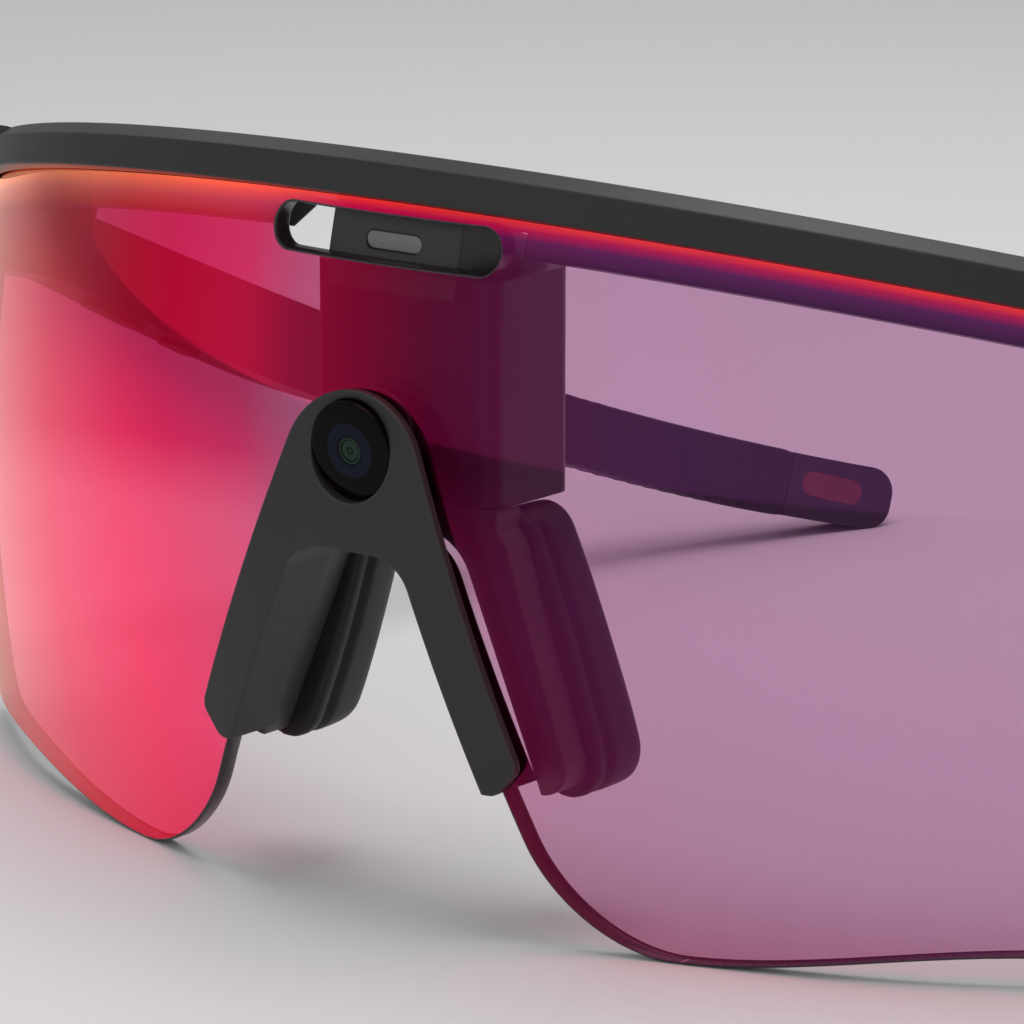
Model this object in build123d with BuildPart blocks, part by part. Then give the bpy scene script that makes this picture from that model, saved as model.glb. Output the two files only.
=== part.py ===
from build123d import *
from math import asin, atan2, cos, degrees, radians, sin, sqrt, tan
import os

os.makedirs("parts", exist_ok=True)

# Wraparound sport sunglasses with a camera in the bridge and a speaker in each temple.
# They are drawn as worn: X across the face to the wearer's left, Y back along the temples, Z square
# to the brow. The zero is the foremost point of the lens, level with the brow's lower edge. At the
# end the whole assembly is laid on its lens lobes and temple tips, as it stands on a table.

# Overall sizes, and how far a cutting shape runs past the face it cuts
front_half_width = 69.3
lens_depth = 58.7
arm_tip_y = 146.0
overrun = 1.0

# Lens: a patch of a ring-shaped surface, drawn in its own frame, which leans forward under the brow
lens_lean = 18.5
lens_thickness = 1.8
lens_turn_radius = 96.5
lens_drop_radius = 141.5
lens_widest_height = -36.4
lens_edge_inset = 1.7
lens_half_width = front_half_width - lens_edge_inset
lens_into_brow = 1.2
lens_corner = 6.0
lens_clearance = 0.15
lobe_x = 28.0
lobe_flat_inset = 13.6
lobe_rise = 2.5

# Vent slot through the lens
vent_width = 23.0
vent_height = 3.6
vent_drop = 3.7

# Brow
brow_front = 1.9
brow_lip = 0.7
brow_face_height = 2.7
brow_bevel = 1.4
brow_top = 3.2
brow_depth = 6.2
brow_rear_bevel = 1.0
brow_rear_lip = 0.5
flange_drop = 3.3
flange_depth = 4.0
end_corner = 9.0
end_margin = 0.3
end_block_length = 5.85
end_block_reach = 2.4
end_block_toe = 6.0
end_block_lead = 3.0
end_block_drop = 8.9
end_slope_length = 11.0
end_shoulder = 0.5

# Wiring channel in the brow, its cap and its flexible circuit
channel_front = 3.0
channel_width = 2.2
channel_floor = 0.4
cap_height = 0.8
cap_ledge = 0.5
cap_inset = 13.6
flex_thickness = 0.25
flex_clearance = 0.3
fit_clearance = 0.05

# Camera in the bridge
window_drop = 20.1
window_diameter = 8.1
window_thickness = 1.0
window_proud = 0.8
retainer_bore = 3.6
barrel_length = 8.4
barrel_wall = 1.0
sensor_side = 7.6
sensor_thickness = 0.9

# Bridge cover: an upside-down V around the camera, clipped through the lens
cover_proud = 0.77
cover_head_radius = 7.1
cover_head_drop = 22.5
leg_foot_x = 16.4
leg_foot_drop = 43.8
leg_toe_x = 14.4
leg_toe_drop = 46.2
arch_top_drop = 28.2
arch_half_width = 5.36
arch_splay = 0.4317
arch_round = 4.0
foot_round = 1.3
rim_wall = 0.85
rim_reach = 5.0
nose_edge_drop = 50.0

# Bridge housing behind the lens
housing_half_width = 9.3
housing_front = 1.9
housing_rear = 12.4
housing_drop = 25.0
housing_wall = 1.3
neck_half_width = 6.6
neck_drop = 6.6
housing_round = 1.6
back_thickness = 1.2
boss_depth = 4.0
boss_height = 3.0

# Recording light in the neck
led_drop = 4.2
led_length = 5.6
led_height = 1.4
led_board_height = 2.3
led_thickness = 0.8
neck_ceiling = 0.8
bridge_screw_x = 4.0
flex_tail = 2.0

# Nose pads and the carrier that holds them
carrier_front = 1.6
carrier_thickness = 3.0
carrier_hub_drop = 33.5
carrier_leg_width = 4.6
pad_top_x = 8.8
pad_top_drop = 28.6
pad_foot_x = 14.6
pad_foot_drop = 45.0
pad_width = 6.6
pad_depth = 8.0
pad_round = 2.2

# Charging contacts
contact_diameter = 2.0
contact_spacing = 4.5
contact_drop = 17.0
contact_bevel = 0.15

# Hinges
hinge_inset = 1.1
knuckle_radius = 1.5
knuckle_top = -2.1
knuckle_bottom = -8.3
knuckle_share = 0.28
knuckle_gap = 0.1
pin_diameter = 1.2
pin_head_diameter = 2.2
pin_head_height = 0.5
pin_slot_width = 0.4
running_clearance = 0.05
joint_gap = 0.25
hinge_relief = 0.35
hinge_plate = 1.2
hinge_plate_length = 5.0

# Temples
arm_inset = 0.2
arm_width = 5.6
arm_straight = 16.0
arm_tip_outer_x = 47.0
arm_tip_width = 4.2
arm_shoulder = 0.2
arm_wall = 1.1
cover_thickness = 1.1
part_clearance = 0.2
arm_solid_front = 5.0
sock_length = 30.0
tip_length = 12.0
tip_round = 2.6
arm_solid_rear = 6.0
tang_inset = 1.5

# Each temple from the side: drops of its top and its sole, and how far they are from joint or sock
arm_fore_back = 19.0
arm_fore_drop = 3.5
arm_waist_ahead = 10.0
arm_waist_drop = 6.6
arm_tip_drop = 7.0
sole_joint_drop = 8.4
sole_fore_back = 22.0
sole_fore_drop = 11.4
sole_swell_back = 38.0
sole_swell_drop = 13.1
sole_waist_ahead = 8.0
sole_waist_drop = 13.5
sole_heel_back = 20.0
sole_heel_drop = 14.2
sole_tip_drop = 13.4

# Inside each temple
board_back = 7.0
board_length = 19.0
board_thickness = 1.0
board_inset = 2.3
board_depth = 2.2
speaker_length = 9.8
bay_gap = 1.5

# Buttons under the right temple and the slide switch in the left one
button_travel = 0.4
button_pressed_proud = 0.1
button_clearance = 0.2
button_width = 2.4
button_flange = 0.4
button_flange_edge = 0.6
capture_back = 12.0
capture_length = 8.0
action_back = 22.0
action_length = 5.0
switch_back = 12.0
switch_drop = 6.6
switch_travel = 2.0
switch_length = 2.6
switch_height = 1.8
switch_proud = 0.5

# Speaker grille, screws and the inlay in each temple tip
grille_length = 7.0
grille_width = 2.0
grille_slot = 0.5
screw_diameter = 1.2
screw_head_diameter = 2.0
screw_head_height = 0.6
screw_length = 2.6
inlay_back = 5.0
inlay_length = 7.0
inlay_height = 2.6
inlay_depth = 0.5


def lens_surface_y(x, height):
    """Depth of the lens's outer surface at a place across and up the lens, in the lens's frame."""
    drop = lens_drop_radius - sqrt(lens_drop_radius**2 - (height - lens_widest_height) ** 2)
    return lens_apex_y + lens_turn_radius - sqrt((lens_turn_radius - drop) ** 2 - x**2)


def brow_turn_radius():
    """Radius of the circle that the lens's outer surface follows where the brow holds it."""
    y = 0.0
    for _ in range(12):
        y = lens_surface_y(lens_half_width, -y * tan(radians(lens_lean)))
    worn_y = y / cos(radians(lens_lean))
    return (lens_half_width**2 + worn_y**2) / (2 * worn_y)


lean_cos = cos(radians(lens_lean))
lean_sin = sin(radians(lens_lean))
lens_apex_y = -(lens_drop_radius - sqrt(lens_drop_radius**2 - lens_widest_height**2))
lens_face = Plane(origin=(0, 0, 0), x_dir=(1, 0, 0), z_dir=(0, -lean_cos, -lean_sin))
lens_side = Plane(origin=(0, 0, 0), x_dir=(0, lean_cos, lean_sin), z_dir=(1, 0, 0))
brow_radius = brow_turn_radius()
far = 200.0

# Places that follow the overall sizes
lens_head = lens_into_brow + 4 * overrun
lobe_flat_x = lens_half_width - lobe_flat_inset
cap_half_width = lens_half_width - cap_inset
joint_y = brow_radius - sqrt(brow_radius**2 - lens_half_width**2) + end_block_length
arm_outer_x = front_half_width - arm_inset
arm_inner_x = arm_outer_x - arm_width
arm_tip_inner_x = arm_tip_outer_x - arm_tip_width
hinge_x = arm_inner_x - hinge_inset
end_block_inner = hinge_x - end_block_reach
end_slope_start = joint_y - end_slope_length
tip_y = arm_tip_y - tip_length
sock_y = tip_y - sock_length

# The camera looks square out of the lens's surface
window_y = lens_surface_y(0, -window_drop)
window_tilt = asin((lens_widest_height + window_drop) / lens_drop_radius)
window_out = Vector(0, -cos(window_tilt) * lean_cos - sin(window_tilt) * lean_sin,
                    -cos(window_tilt) * lean_sin + sin(window_tilt) * lean_cos)
window_centre = lens_side.from_local_coords((window_y, -window_drop))
camera_axis = Plane(origin=window_centre, x_dir=(1, 0, 0), z_dir=window_out)


def lens_layer(proud, deep):
    """The lens's own curved layer, from proud of its outer surface to deep behind it."""
    centre_y = lens_apex_y + lens_drop_radius
    low = -lens_depth - 2 * overrun
    high = lens_head
    with BuildPart() as layer:
        with BuildSketch(lens_side):
            with Locations((centre_y, lens_widest_height)):
                Circle(lens_drop_radius + proud)
                Circle(lens_drop_radius - deep, mode=Mode.SUBTRACT)
            with Locations((lens_turn_radius / 3, (low + high) / 2)):
                Rectangle(2 * far, high - low, align=(Align.MAX, Align.CENTER), mode=Mode.INTERSECT)
        turn_centre = lens_side.from_local_coords((lens_apex_y + lens_turn_radius, 0))
        revolve(axis=Axis(turn_centre, lens_side.y_dir))
        split(bisect_by=Plane.XZ.offset(-lens_turn_radius / 2), keep=Keep.TOP)
    return layer.part


def across(half_width, front, rear, low, high):
    """A block over the middle of the frame, from low to high and from front to rear."""
    with BuildPart(Plane.XY.offset(low)) as block:
        with Locations((0, (front + rear) / 2)):
            Box(2 * half_width, rear - front, high - low, align=(Align.CENTER, Align.CENTER, Align.MIN))
    return block.part


def arch_face(grow=0.0):
    """The opening over the nose, on the lens's face, grown outwards by a margin."""
    low = -lens_depth - 3 * overrun
    low_half = arch_half_width + (-arch_top_drop - low) * arch_splay
    with BuildSketch(Plane.XY, mode=Mode.PRIVATE) as arch:
        Polygon(
            (-low_half, low), (low_half, low), (arch_half_width, -arch_top_drop),
            (-arch_half_width, -arch_top_drop), align=None,
        )
        fillet(arch.vertices().group_by(Axis.Y)[-1], arch_round)
        if grow:
            offset(amount=grow)
    return arch.sketch


def brow_ring(points, half_width):
    """A stretch of the brow: its cross-section turned about the brow's own centre."""
    with BuildPart() as ring:
        with BuildSketch(Plane.YZ):
            Polygon(*points, align=None)
        revolve(axis=Axis((0, brow_radius, 0), (0, 0, 1)))
        add(across(half_width, -far, joint_y, -far, far), mode=Mode.INTERSECT)
    return ring.part


# ---- Lens ----

with BuildPart() as shield_lens:
    add(lens_layer(0, lens_thickness))
    with BuildSketch(lens_face) as lens_outline:
        nose_edge_x = arch_half_width + (nose_edge_drop - arch_top_drop) * arch_splay
        nose_edge_x += (rim_wall + lens_clearance) * sqrt(1 + arch_splay**2)
        lobe_floor = -lens_depth + lobe_rise
        with BuildLine():
            top = Polyline(
                (nose_edge_x, -nose_edge_drop), (0, -nose_edge_drop), (0, lens_head),
                (lens_half_width, lens_head), (lens_half_width, lobe_floor + lens_corner),
            )
            corner = RadiusArc(top @ 1, (lens_half_width - lens_corner, lobe_floor), lens_corner)
            flat = Line(corner @ 1, (lobe_flat_x, lobe_floor))
            sole = Spline(flat @ 1, (lobe_x, -lens_depth), tangents=[(-1, 0), (-1, 0)])
            Spline(sole @ 1, top @ 0, tangents=[(-1, 0), (-arch_splay, 1)])
        make_face()
        mirror(about=Plane.YZ)
        add(arch_face(rim_wall + lens_clearance), mode=Mode.SUBTRACT)
        with Locations((0, -vent_drop)):
            SlotOverall(vent_width, vent_height, mode=Mode.SUBTRACT)
    extrude(amount=far, both=True, mode=Mode.INTERSECT)
    with Locations(camera_axis):
        Cylinder(window_diameter / 2 + part_clearance, far / 8, mode=Mode.SUBTRACT)
    split(bisect_by=Plane.XY.offset(lens_into_brow), keep=Keep.BOTTOM)
shield_lens.part.label = "shield_lens"

# ---- Brow ----

brow_floor = -brow_lip
face_top = brow_floor + brow_face_height
brow_points = (
    (-brow_front, brow_floor), (-brow_front, face_top), (-brow_front + brow_bevel, brow_top),
    (brow_depth - brow_rear_bevel, brow_top), (brow_depth, brow_top - brow_rear_bevel),
    (brow_depth, brow_floor - brow_rear_lip),
    (flange_depth, -flange_drop), (lens_thickness, -flange_drop), (lens_thickness / 2, brow_floor),
)
channel_rear = channel_front + channel_width
cap_floor = brow_top - cap_height
channel_points = (
    (channel_front, channel_floor), (channel_rear, channel_floor), (channel_rear, cap_floor),
    (channel_rear + cap_ledge, cap_floor), (channel_rear + cap_ledge, brow_top + overrun),
    (channel_front - cap_ledge, brow_top + overrun), (channel_front - cap_ledge, cap_floor),
    (channel_front, cap_floor),
)
cap_front = channel_front - cap_ledge + fit_clearance
cap_rear = channel_rear + cap_ledge - fit_clearance
cap_points = ((cap_front, cap_floor), (cap_rear, cap_floor), (cap_rear, brow_top), (cap_front, brow_top))
flex_y = channel_front + channel_width / 2
flex_rear = flex_y + flex_thickness
flex_low = channel_floor + flex_clearance
flex_high = cap_floor - flex_clearance
flex_points = ((flex_y, flex_low), (flex_rear, flex_low), (flex_rear, flex_high), (flex_y, flex_high))
knuckle_height = (knuckle_top - knuckle_bottom) * knuckle_share

flex_slot = across(flex_tail, flex_y - flex_clearance, flex_rear + flex_clearance, -far, far)

with BuildPart() as brow_frame:
    add(brow_ring(brow_points, front_half_width + overrun))
    for side in (-1, 1):
        with BuildSketch(Plane.YZ.offset(side * end_block_inner)):
            Polygon(
                (end_slope_start - end_block_lead, brow_floor), (end_slope_start - end_block_lead, brow_top),
                (joint_y, brow_top), (joint_y, -end_block_drop), (joint_y - end_block_toe, -end_block_drop),
                align=None,
            )
        extrude(amount=side * (front_half_width + overrun - end_block_inner))
    with BuildSketch(Plane.XY.offset(-far)) as front_plan:
        with Locations((0, brow_radius)):
            Circle(brow_radius + brow_front + end_margin)
        with Locations((0, joint_y + end_margin)):
            Rectangle(2 * front_half_width, far, align=(Align.CENTER, Align.MAX), mode=Mode.INTERSECT)
        fillet(front_plan.vertices().group_by(Axis.Y)[0], end_corner)
    extrude(amount=2 * far, mode=Mode.INTERSECT)
    with BuildSketch(Plane.YZ):
        Polygon(
            (end_slope_start, brow_top), (joint_y + overrun, knuckle_top + end_shoulder),
            (joint_y + overrun, brow_top + overrun), (end_slope_start, brow_top + overrun), align=None,
        )
    extrude(amount=far, both=True, mode=Mode.SUBTRACT)
    front_room = lens_layer(far / 8, lens_thickness / 2)
    add(front_room & across(far, -far, far, -far, brow_floor), mode=Mode.SUBTRACT)
    groove = lens_layer(lens_clearance, lens_thickness + lens_clearance)
    groove_half_width = lens_half_width + lens_clearance
    groove_top = lens_into_brow + lens_clearance
    add(groove & across(groove_half_width, -far, far, -far, groove_top), mode=Mode.SUBTRACT)
    add(brow_ring(channel_points, cap_half_width), mode=Mode.SUBTRACT)
    vent_half = vent_width / 2 + overrun
    add(across(vent_half, 0, brow_depth + overrun, -flange_drop - overrun, brow_floor), mode=Mode.SUBTRACT)
    boss_rear = brow_depth + boss_depth
    add(across(housing_half_width, brow_depth - overrun, boss_rear, brow_floor, brow_floor + boss_height))
    flex_way = flex_slot & across(far, -far, far, brow_floor - overrun, channel_floor + overrun)
    add(flex_way, mode=Mode.SUBTRACT)
    screw_y = brow_depth + boss_depth / 2
    with Locations(Plane.XY.offset(brow_floor)):
        with Locations((-bridge_screw_x, screw_y), (bridge_screw_x, screw_y)):
            Cylinder(screw_diameter / 2, screw_length, align=(Align.CENTER, Align.CENTER, Align.MIN),
                     mode=Mode.SUBTRACT)
    for side in (-1, 1):
        with Locations((side * hinge_x, joint_y, 0)):
            Cylinder(knuckle_radius + hinge_relief, far, mode=Mode.SUBTRACT)
        plate_middle = side * (hinge_x + hinge_plate_length / 2)
        with Locations((plate_middle, joint_y, (knuckle_top + knuckle_bottom) / 2)):
            Box(hinge_plate_length + 2 * knuckle_radius, 2 * hinge_plate, knuckle_top - knuckle_bottom,
                mode=Mode.SUBTRACT)
brow_frame.part.label = "brow_frame"

with BuildPart() as brow_cap:
    add(brow_ring(cap_points, cap_half_width - fit_clearance))
brow_cap.part.label = "brow_cap"

with BuildPart() as brow_flex:
    add(brow_ring(flex_points, cap_half_width - flex_clearance))
    tail_end = brow_floor - neck_ceiling - part_clearance
    add(across(flex_tail - flex_clearance, flex_y, flex_rear, tail_end, flex_low + overrun / 2))
brow_flex.part.label = "brow_flex"

# ---- Camera ----

window_rear = window_proud - window_thickness


def camera_end(piece):
    """The frontmost circular edge of a piece on the camera's axis."""
    along = Axis(camera_axis.origin, camera_axis.z_dir)
    return piece.edges().filter_by(GeomType.CIRCLE).sort_by(along)[-1]


def camera_disc(diameter, thickness, bore=0.0):
    """A round piece on the camera's axis, from the current plane forwards, with an optional bore."""
    Cylinder(diameter / 2, thickness, align=(Align.CENTER, Align.CENTER, Align.MIN))
    if bore:
        Cylinder(bore / 2, thickness, align=(Align.CENTER, Align.CENTER, Align.MIN), mode=Mode.SUBTRACT)


with BuildPart(camera_axis.offset(window_rear)) as camera_window:
    camera_disc(window_diameter, window_thickness)
    chamfer(camera_end(camera_window), window_thickness / 8)
camera_window.part.label = "camera_window"

barrel_diameter = window_diameter - 2 * fit_clearance
with BuildPart(camera_axis.offset(window_rear - barrel_length)) as camera_barrel:
    camera_disc(barrel_diameter, barrel_length, barrel_diameter - 2 * barrel_wall)
camera_barrel.part.label = "camera_barrel"

retainer_diameter = barrel_diameter - 2 * barrel_wall - 2 * fit_clearance
retainer_length = barrel_length / 4
with BuildPart(camera_axis.offset(window_rear - fit_clearance - retainer_length)) as lens_retainer:
    camera_disc(retainer_diameter, retainer_length, retainer_bore)
    chamfer(camera_end(lens_retainer), barrel_wall / 2)
lens_retainer.part.label = "lens_retainer"

element_top = window_rear - 2 * fit_clearance - retainer_length
with BuildPart(camera_axis.offset(element_top - retainer_length)) as camera_lens:
    camera_disc(retainer_diameter, retainer_length)
    fillet(camera_end(camera_lens), retainer_length / 3)
camera_lens.part.label = "camera_lens"

sensor_rear = window_rear - barrel_length - fit_clearance - sensor_thickness
with BuildPart(camera_axis.offset(sensor_rear)) as camera_sensor:
    Box(sensor_side, sensor_side, sensor_thickness, align=(Align.CENTER, Align.CENTER, Align.MIN))
camera_sensor.part.label = "camera_sensor"

# ---- Bridge cover ----

arch_lean = sqrt(1 + arch_splay**2)
shoulder_x = cover_head_radius / arch_lean
shoulder_drop = cover_head_drop - cover_head_radius * arch_splay / arch_lean
toe_inner_x = arch_half_width + (leg_toe_drop - arch_top_drop) * arch_splay

with BuildSketch(lens_face) as cover_outline:
    Polygon(
        (0, -shoulder_drop), (shoulder_x, -shoulder_drop), (leg_foot_x, -leg_foot_drop),
        (leg_toe_x, -leg_toe_drop), (toe_inner_x - overrun, -leg_toe_drop), (0, -arch_top_drop),
        align=None,
    )
    fillet(cover_outline.vertices().sort_by(Axis.X)[-2:], foot_round)
    mirror(about=Plane.YZ)
    with Locations((0, -cover_head_drop)):
        Circle(cover_head_radius)
    add(arch_face(), mode=Mode.SUBTRACT)

with BuildPart() as cover_rim:
    with BuildSketch(lens_face):
        add(cover_outline.sketch_local)
        add(arch_face(rim_wall), mode=Mode.INTERSECT)
    extrude(amount=far / 8, both=True)
    add(lens_layer(cover_proud, rim_reach), mode=Mode.INTERSECT)

with BuildPart() as bridge_cover:
    add(lens_layer(cover_proud, -fit_clearance))
    with BuildSketch(lens_face):
        add(cover_outline.sketch_local)
    extrude(amount=far, both=True, mode=Mode.INTERSECT)
    add(cover_rim.part)
    with Locations(camera_axis):
        Cylinder(window_diameter / 2 + fit_clearance, 4 * window_thickness, mode=Mode.SUBTRACT)
bridge_cover.part.label = "bridge_cover"

# ---- Bridge housing ----

def on_lens_side(y, drop):
    """A place on the middle plane, given in the lens's frame."""
    return lens_side.from_local_coords((y, -drop))


def lens_block(half_width, front, rear, high_drop, low_drop):
    """A block over the middle, square to the lens's frame, from front to rear and high to low."""
    with BuildPart() as block:
        with BuildSketch(lens_side):
            with Locations(((front + rear) / 2, -(high_drop + low_drop) / 2)):
                Rectangle(rear - front, low_drop - high_drop)
        extrude(amount=half_width, both=True)
    return block.part


back_front = housing_rear - back_thickness
under_brow = across(far, -far, far, -far, brow_floor - fit_clearance)
behind_lens = lens_layer(far / 8, lens_thickness + part_clearance)

with BuildPart() as bridge_housing:
    add(lens_block(housing_half_width, housing_front, housing_rear, neck_drop, housing_drop))
    fillet(bridge_housing.edges().filter_by(Axis(lens_side.origin, lens_side.y_dir)), housing_round)
    add(lens_block(neck_half_width, 0, housing_rear, -brow_top, neck_drop + housing_round))
    add(under_brow, mode=Mode.INTERSECT)
    add(behind_lens, mode=Mode.SUBTRACT)
    inner = housing_half_width - housing_wall
    inner_front = housing_front + housing_wall
    inner_top = neck_drop + housing_wall
    inner_floor = housing_drop - housing_wall
    add(lens_block(inner, inner_front, housing_rear + overrun, inner_top, inner_floor), mode=Mode.SUBTRACT)
    neck_inner = neck_half_width - housing_wall
    neck_room = lens_block(neck_inner, inner_front, back_front, 0, inner_top + housing_wall)
    add(neck_room & across(far, -far, far, -far, brow_floor - neck_ceiling), mode=Mode.SUBTRACT)
    with Locations(camera_axis):
        Cylinder(barrel_diameter / 2 + fit_clearance, far / 8, mode=Mode.SUBTRACT)
    with BuildSketch(lens_face):
        with Locations((0, -led_drop)):
            SlotOverall(led_length + 2 * fit_clearance, led_height + 2 * fit_clearance)
    extrude(amount=-inner_front - overrun, mode=Mode.SUBTRACT)
    add(flex_slot & across(far, -far, far, -neck_drop / 2, far), mode=Mode.SUBTRACT)
    with Locations(Plane.XY.offset(brow_floor)):
        with Locations((-bridge_screw_x, screw_y), (bridge_screw_x, screw_y)):
            Cylinder(screw_diameter / 2 + fit_clearance, 4 * neck_ceiling, mode=Mode.SUBTRACT)
bridge_housing.part.label = "bridge_housing"

rear_middle = on_lens_side(housing_rear, 0)
rear_face = Plane(origin=rear_middle, x_dir=(-1, 0, 0), z_dir=(0, lean_cos, lean_sin))
contact_spots = ((-contact_spacing / 2, -contact_drop), (contact_spacing / 2, -contact_drop))

with BuildPart() as bridge_back:
    add(lens_block(inner - fit_clearance, back_front, housing_rear, inner_top + fit_clearance,
                   inner_floor - fit_clearance))
    with Locations(rear_face):
        with Locations(*contact_spots):
            Cylinder(contact_diameter / 2 + fit_clearance, 4 * back_thickness, mode=Mode.SUBTRACT)
bridge_back.part.label = "bridge_back"

with BuildPart() as charging_contacts:
    with BuildSketch(rear_face):
        with Locations(*contact_spots):
            Circle(contact_diameter / 2)
    extrude(amount=-2 * back_thickness)
    rims = charging_contacts.edges().sort_by(Axis(rear_face.origin, rear_face.z_dir))
    chamfer(rims[-2:], contact_bevel)
charging_contacts.part.label = "charging_contacts"

with BuildPart() as bridge_screws:
    for x in (-bridge_screw_x, bridge_screw_x):
        with Locations(Plane((x, screw_y, brow_floor - fit_clearance - neck_ceiling))):
            Cylinder(screw_diameter / 2 - fit_clearance, screw_length - fit_clearance,
                     align=(Align.CENTER, Align.CENTER, Align.MIN))
            Cylinder(screw_head_diameter / 2, screw_head_height,
                     align=(Align.CENTER, Align.CENTER, Align.MAX))
bridge_screws.part.label = "bridge_screws"

led_face = Plane(origin=on_lens_side(housing_front + housing_wall, led_drop), x_dir=(1, 0, 0),
                 z_dir=(0, -lean_cos, -lean_sin))
led_reach = lens_surface_y(0, -led_drop) + lens_thickness + 2 * part_clearance
with BuildPart() as light_window:
    with BuildSketch(led_face):
        SlotOverall(led_length, led_height)
    extrude(amount=housing_front + housing_wall - led_reach)
light_window.part.label = "light_window"

with BuildPart() as light_board:
    with BuildSketch(led_face.offset(-fit_clearance)):
        Rectangle(led_length + 2 * led_thickness, led_board_height)
    extrude(amount=-led_thickness)
light_board.part.label = "light_board"

# ---- Nose pads ----

carrier_middle = on_lens_side(carrier_front, 0)
carrier_plane = Plane(origin=carrier_middle, x_dir=(1, 0, 0), z_dir=(0, -lean_cos, -lean_sin))

leg_turn = -degrees(atan2(pad_foot_drop - pad_top_drop, pad_foot_x - pad_top_x))
leg_length = sqrt((pad_foot_x - pad_top_x) ** 2 + (pad_foot_drop - pad_top_drop) ** 2)
leg_middle = ((pad_top_x + pad_foot_x) / 2, -(pad_top_drop + pad_foot_drop) / 2)

with BuildPart() as pad_carrier:
    with BuildSketch(carrier_plane):
        with Locations(Location((leg_middle[0], leg_middle[1]), leg_turn)):
            SlotCenterToCenter(leg_length, carrier_leg_width)
        with Locations((0, -housing_drop)):
            Rectangle(pad_top_x + carrier_leg_width / 4, carrier_hub_drop - housing_drop,
                      align=(Align.MIN, Align.MAX))
        mirror(about=Plane.YZ)
        add(arch_face(rim_wall), mode=Mode.SUBTRACT)
    extrude(amount=-carrier_thickness)
pad_carrier.part.label = "pad_carrier"

pad_plane = carrier_plane.offset(-carrier_thickness)
with BuildPart() as nose_pad:
    with BuildSketch(pad_plane):
        with Locations(Location((leg_middle[0], leg_middle[1]), leg_turn)):
            SlotCenterToCenter(leg_length, pad_width)
    extrude(amount=-pad_depth)
    fillet(nose_pad.edges().sort_by(Axis(pad_plane.origin, pad_plane.z_dir))[:4], pad_round)
nose_pad.part.label = "nose_pad"

# ---- Hinges ----

def knuckle(low, high, bore):
    """One barrel of the left hinge, between two heights."""
    with BuildPart(Plane((hinge_x, joint_y, low))) as barrel:
        Cylinder(knuckle_radius, high - low, align=(Align.CENTER, Align.CENTER, Align.MIN))
        Cylinder(bore / 2, high - low, align=(Align.CENTER, Align.CENTER, Align.MIN), mode=Mode.SUBTRACT)
    return barrel.part


def upright(x_low, x_high, front, rear, low, high):
    """A block on the left side, given by its faces."""
    with BuildPart(Plane((x_low, front, low))) as block:
        Box(x_high - x_low, rear - front, high - low, align=(Align.MIN, Align.MIN, Align.MIN))
    return block.part


pin_bore = pin_diameter + 2 * running_clearance
middle_high = knuckle_top - knuckle_height - knuckle_gap
middle_low = knuckle_bottom + knuckle_height + knuckle_gap
plate_end = hinge_x + hinge_plate_length

with BuildPart() as front_hinge:
    add(upright(hinge_x, plate_end, joint_y - hinge_plate, joint_y, knuckle_bottom, knuckle_top))
    room = knuckle_radius + hinge_relief
    with Locations((hinge_x, joint_y, (middle_low + middle_high) / 2)):
        Cylinder(room, middle_high - middle_low + 2 * knuckle_gap, mode=Mode.SUBTRACT)
    with Locations((hinge_x, joint_y, 0)):
        Cylinder(pin_bore / 2, far, mode=Mode.SUBTRACT)
    add(knuckle(middle_high + knuckle_gap, knuckle_top, pin_bore))
    add(knuckle(knuckle_bottom, middle_low - knuckle_gap, pin_bore))
front_hinge.part.label = "front_hinge"

with BuildPart() as hinge_pin:
    with Locations((hinge_x, joint_y, knuckle_top)):
        Cylinder(pin_diameter / 2, knuckle_top - knuckle_bottom,
                 align=(Align.CENTER, Align.CENTER, Align.MAX))
        Cylinder(pin_head_diameter / 2, pin_head_height, align=(Align.CENTER, Align.CENTER, Align.MIN))
    with Locations((hinge_x, joint_y, knuckle_top + pin_head_height)):
        Box(2 * pin_head_diameter, pin_slot_width, pin_head_height, mode=Mode.SUBTRACT)
hinge_pin.part.label = "hinge_pin"

# ---- Temples ----

arm_start = joint_y + joint_gap
arm_top = (
    (arm_start, knuckle_top + arm_shoulder), (joint_y + arm_fore_back, -arm_fore_drop),
    (sock_y - arm_waist_ahead, -arm_waist_drop), (arm_tip_y, -arm_tip_drop),
)
arm_sole = (
    (arm_tip_y, -sole_tip_drop), (sock_y + sole_heel_back, -sole_heel_drop),
    (sock_y - sole_waist_ahead, -sole_waist_drop), (joint_y + sole_swell_back, -sole_swell_drop),
    (joint_y + sole_fore_back, -sole_fore_drop), (arm_start, -sole_joint_drop),
)
arm_bend_y = joint_y + arm_straight


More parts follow.
